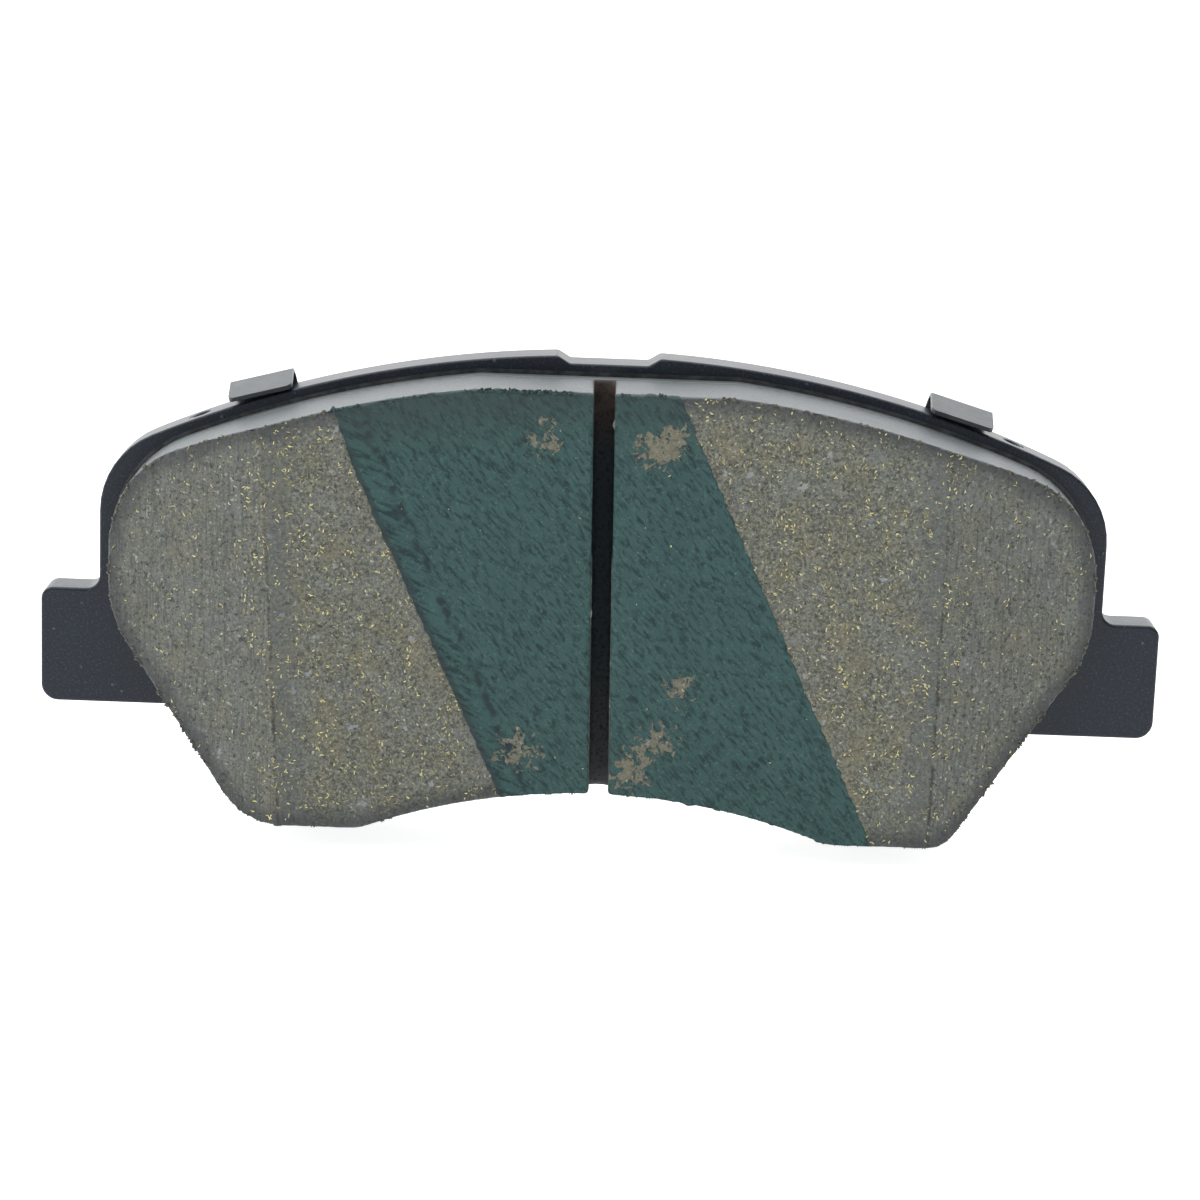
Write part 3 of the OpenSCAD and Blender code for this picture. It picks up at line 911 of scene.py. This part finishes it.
def crumbs(count, largest, coated, wanted, seed):
    """Lumps on the wanted part of the rim, either where the stripe crosses it or on the rest."""
    draw = random.Random(seed)
    pile = bmesh.new()
    spots = [(place, out) for place, out in rim_places
             if (abs(across(STRIPE, place.x, place.z)) < HALF_STRIPE) == coated
             and wanted(place) and bumpy(place, 3 * MM, 80) > -0.1]
    for _ in range(count):
        place, out = draw.choice(spots)
        size = draw.triangular(0.12, largest, 0.2) * MM
        turn = Matrix.Rotation(draw.uniform(0, 2 * math.pi), 4, Vector((draw.random(), draw.random(), 1)))
        stretch = Matrix.Diagonal((size, size * draw.uniform(0.4, 1), size * draw.uniform(0.4, 1), 1))
        first = len(pile.verts)
        pile.from_mesh(draw.choice(crumb_shapes))
        pile.verts.ensure_lookup_table()
        spot = place + out * draw.uniform(-0.4, 0.25) * size
        bmesh.ops.transform(pile, matrix=Matrix.Translation(spot) @ turn @ stretch,
                            verts=pile.verts[first:])
    return pile


crumb_shapes = [crumb_shape(seed) for seed in (1, 2, 3, 4)]
print(len(crumb_shapes), "crumb shapes ready for", len(rim_places), "rim points")

# %% [markdown]
# The upper rim and the flanks carry the most crumbs and the largest ones. Along the bottom they
# are small and few. Each group is one piece, so that it can be hidden or changed by itself.

# %% Mix their finish and scatter them
def crumb_finish():
    """Loose friction material, darker and browner than the ground face."""
    loose = Finish("loose_friction")
    colour, roughness, height = bare_friction(loose)
    colour = loose.mix(colour, display(70, 66, 56), 0.5)
    loose.set(Base_Color=colour, Roughness=roughness, Normal=loose.relief(height, 0.04 * MM))
    return loose


LOBES_BELOW = -12 * MM
loose_finish = crumb_finish()
flank_crumbs = crumbs(1400, 0.65, False, lambda place: place.z > LOBES_BELOW, seed=21)
add_piece("flank_crumbs", flank_crumbs, loose_finish, "friction", crease=60, weighted=False)
bottom_crumbs = crumbs(300, 0.3, False, lambda place: place.z <= LOBES_BELOW, seed=23)
add_piece("bottom_crumbs", bottom_crumbs, loose_finish, "friction", crease=60, weighted=False)
top_flakes = crumbs(1000, 0.8, True, lambda place: place.z > 0, seed=22)
add_piece("top_flakes", top_flakes, coating_finish, "bedding_coat", crease=60, weighted=False)
bottom_flakes = crumbs(300, 0.35, True, lambda place: place.z <= 0, seed=24)
add_piece("bottom_flakes", bottom_flakes, coating_finish, "bedding_coat", crease=60, weighted=False)

# %% [markdown]
# ## Brass fibres
#
# The friction material is full of short brass fibres, cut through where the face was ground.
# They lie at every angle, bright against the grey. Each is a tiny bent ribbon of a few faces.
# Its ends dip into the surface, so that it looks cut through and not laid on.

# %% Shape a few fibres
def fibre_shape(bend):
    """A ribbon one unit long along X, bent sideways by bend, with a little thickness."""
    ribbon = bmesh.new()
    bmesh.ops.create_grid(ribbon, x_segments=3, y_segments=1, size=0.5)
    for vert in ribbon.verts:
        along = vert.co.x
        vert.co.y = vert.co.y * (1 - 1.6 * along * along) + 3 * bend * (along * along - 0.08)
        vert.co.z = -2.0 * along * along
    bmesh.ops.recalc_face_normals(ribbon, faces=ribbon.faces)
    if sum(face.normal.z for face in ribbon.faces) < 0:
        bmesh.ops.reverse_faces(ribbon, faces=ribbon.faces)
    rim = bmesh.ops.extrude_face_region(ribbon, geom=ribbon.faces[:])
    lifted = [item for item in rim["geom"] if isinstance(item, bmesh.types.BMVert)]
    bmesh.ops.translate(ribbon, verts=lifted, vec=(0, 0, 1))
    bmesh.ops.recalc_face_normals(ribbon, faces=ribbon.faces)
    mesh = bpy.data.meshes.new("fibre")
    ribbon.to_mesh(mesh)
    ribbon.free()
    return mesh


fibre_shapes = [fibre_shape(bend) for bend in (-0.9, -0.5, 0.0, 0.4, 0.8)]
print("a fibre has", len(fibre_shapes[0].polygons), "faces")

# %% [markdown]
# A seeded random draw picks thousands of places on the face, and a ray shot straight at the
# face finds the surface there. Fibres lie in clusters, so a slow noise decides how likely one
# is. There are more along the creases, fewer on the chamfers, and the coating hides nearly all.

# %% Scatter the fibres
def share_of_fibres(x, z):
    """How likely a fibre is here, from 0 to 1."""
    if abs(across(SLOT, x, z)) < 1.5 * MM:
        return 0
    if abs(across(STRIPE, x, z)) < HALF_STRIPE:
        return 0.02
    drift = min(1, max(0, 0.4 + 1.2 * noise.noise(Vector((x, 0, z)) / (3.2 * MM))
                       + 1.0 * noise.noise(Vector((x, 5, z)) / (1.1 * MM))))
    left = -across(CREASES["left"], x, z)
    right = across(CREASES["right"], x, z)
    inside = max(left, right)
    if inside > 3 * MM:
        return 0.28 * drift
    if inside > -6 * MM:
        return 1.15 * drift
    return 0.85 * drift


TRIES = 10000
BEFORE_FACE = -30 * MM
FIBRE_THICKNESS = 0.07 * MM
draw = random.Random(5)
fibres = bmesh.new()
low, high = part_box("friction_block")
placed = 0
for _ in range(TRIES):
    x, z = draw.uniform(low.x, high.x), draw.uniform(low.z, high.z)
    wanted = draw.random() < share_of_fibres(x, z)
    turn, length = draw.uniform(0, math.pi), draw.triangular(0.18, 0.62, 0.3) * MM
    width, shape = draw.uniform(0.09, 0.15) * MM, draw.choice(fibre_shapes)
    sink = draw.uniform(0.0, 0.04) * MM
    hit, normal, _, _ = block_tree.ray_cast(Vector((x, BEFORE_FACE, z)), Vector((0, 1, 0)))
    if not wanted or hit is None or normal.y > -0.75:
        continue
    normal = (normal + Vector((draw.uniform(-0.25, 0.25), 0, draw.uniform(-0.25, 0.25)))).normalized()
    along = normal.orthogonal().normalized()
    along.rotate(Matrix.Rotation(turn, 3, normal))
    side = normal.cross(along)
    axes = Matrix((along * length, side * width, normal * FIBRE_THICKNESS)).transposed().to_4x4()
    first = len(fibres.verts)
    fibres.from_mesh(shape)
    fibres.verts.ensure_lookup_table()
    bmesh.ops.transform(fibres, matrix=Matrix.Translation(hit - normal * sink) @ axes,
                        verts=fibres.verts[first:])
    placed += 1
print("fibres placed:", placed)

# %% [markdown]
# Cut brass is bright where the grinding was fresh and browns quickly elsewhere, so one noise
# shifts the bright tone and another dulls some of the fibres.

# %% Mix the brass and add the fibres
def cut_brass():
    """Bright cut brass, some of it dulled and browned."""
    brass = Finish("cut_brass")
    change = brass.cloud(0.7 * MM, detail=1)
    dull = brass.fade(brass.cloud(1.3 * MM, detail=1), 0.42, 0.6)
    colour = brass.mix(display(188, 178, 110), display(228, 221, 170), change)
    colour = brass.mix(colour, display(132, 124, 88), dull * 0.85)
    brass.set(Base_Color=colour, Metallic=0.6, Roughness=0.35 + change * 0.25)
    return brass


add_piece("brass_fibres", fibres, cut_brass(), "brass_fibre", crease=50, weighted=False)

# %% [markdown]
# ## Finish
#
# The spare copy of the block and the crumb and fibre shapes are thrown away.

# %% Free the spare meshes
block_copy.free()
for shape in fibre_shapes + crumb_shapes:
    bpy.data.meshes.remove(shape)
